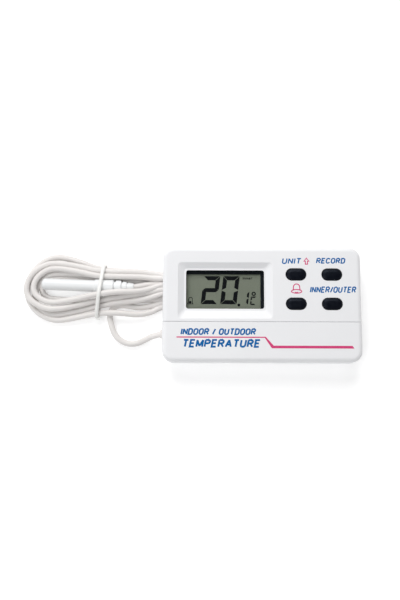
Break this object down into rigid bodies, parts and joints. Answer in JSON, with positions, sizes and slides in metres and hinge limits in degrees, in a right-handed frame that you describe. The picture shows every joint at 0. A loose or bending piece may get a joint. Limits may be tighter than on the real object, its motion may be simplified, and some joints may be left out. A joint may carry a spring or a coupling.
{
  "type": "maximum minimum thermometer",
  "caption": "Flat white digital maximum and minimum thermometer with a recessed display, rubber keys, sliding battery cover, fold-out stand and a remote probe on a thin coiled lead.",
  "frame": {"origin": "centre of the case's back, on the surface the thermometer lies on; the lead, its grommet, the hank and the probe are left out of it", "axes": "+X along the case towards the keys, +Y towards the top edge, +Z out of the display face"},
  "size_m": [0.181, 0.061, 0.0175],
  "materials": {
    "case_plastic": "satin injection-moulded ABS, cool white",
    "window_clear": "clear moulded acrylic",
    "frame_black": "black ABS, fine satin",
    "lcd_glass": "thin float glass",
    "lcd_backing": "grey-green reflective film",
    "key_rubber": "matt near-black silicone rubber",
    "mat_rubber": "grey translucent silicone",
    "carbon": "conductive carbon rubber",
    "board_green": "glass-epoxy laminate with green solder mask",
    "epoxy_black": "black potting epoxy",
    "steel": "zinc-plated steel",
    "nickel": "nickel-plated spring steel",
    "brass": "bright brass disc",
    "cell_steel": "nickel-plated steel can",
    "cell_sleeve": "shrink film, plain dark",
    "wire_pvc": "PVC insulation",
    "lead_pvc": "soft white PVC jacket, slightly warm",
    "probe_plastic": "white moulded plastic",
    "tie_plastic": "soft translucent white plastic",
    "magnet_ferrite": "dark grey sintered ferrite"
  },
  "bodies": {
    "case": {"front_case": "case_plastic", "rear_case": "case_plastic", "stand_pin": "steel", "magnets": "magnet_ferrite", "case_screws": "steel", "board_screws": "steel", "clamp_screw": "steel", "display_window": "window_clear", "lcd_frame": "frame_black", "lcd_front_glass": "lcd_glass", "lcd_rear_glass": "lcd_glass", "lcd_reflector": "lcd_backing", "zebra_strip": "mat_rubber", "circuit_board": "board_green", "chip_blob": "epoxy_black", "crystal": "cell_steel", "room_sensor": "epoxy_black", "chip_components": "epoxy_black", "buzzer_disc": "brass", "battery_cell": "cell_steel", "battery_sleeve": "cell_sleeve", "battery_plate": "nickel", "battery_spring": "nickel", "battery_wires": "wire_pvc", "buzzer_wires": "wire_pvc", "probe_wires": "wire_pvc", "keypad_mat": "mat_rubber", "lead_grommet": "lead_pvc", "lead_inner": "lead_pvc", "lead_clamp": "case_plastic", "lead_run": "lead_pvc", "lead_hank": "lead_pvc", "lead_tail": "lead_pvc", "hank_tie": "tie_plastic", "probe_barrel": "probe_plastic", "probe_collar": "probe_plastic", "probe_sensor": "epoxy_black", "probe_potting": "epoxy_black"},
    "cover": {"battery_cover": "case_plastic"},
    "stand": {"stand": "case_plastic"},
    "key_units": {"key_units": "key_rubber", "pill_units": "carbon"},
    "key_max_min": {"key_max_min": "key_rubber", "pill_max_min": "carbon"},
    "key_alarm": {"key_alarm": "key_rubber", "pill_alarm": "carbon"},
    "key_sensor": {"key_sensor": "key_rubber", "pill_sensor": "carbon"}
  },
  "joints": [
    {"name": "cover_slide", "type": "slide", "parent": "case", "child": "cover", "axis": [0, -1, 0], "range_m": [0, 0.024]},
    {"name": "stand_hinge", "type": "hinge", "parent": "case", "child": "stand", "pos_m": [0, 0.019, 0.0014], "axis": [1, 0, 0], "range_deg": [0, 55]},
    {"name": "key_units_press", "type": "slide", "parent": "case", "child": "key_units", "axis": [0, 0, -1], "range_m": [0, 0.0008], "stiffness_N_per_m": 1200},
    {"name": "key_max_min_press", "type": "slide", "parent": "case", "child": "key_max_min", "axis": [0, 0, -1], "range_m": [0, 0.0008], "stiffness_N_per_m": 1200},
    {"name": "key_alarm_press", "type": "slide", "parent": "case", "child": "key_alarm", "axis": [0, 0, -1], "range_m": [0, 0.0008], "stiffness_N_per_m": 1200},
    {"name": "key_sensor_press", "type": "slide", "parent": "case", "child": "key_sensor", "axis": [0, 0, -1], "range_m": [0, 0.0008], "stiffness_N_per_m": 1200}
  ]
}
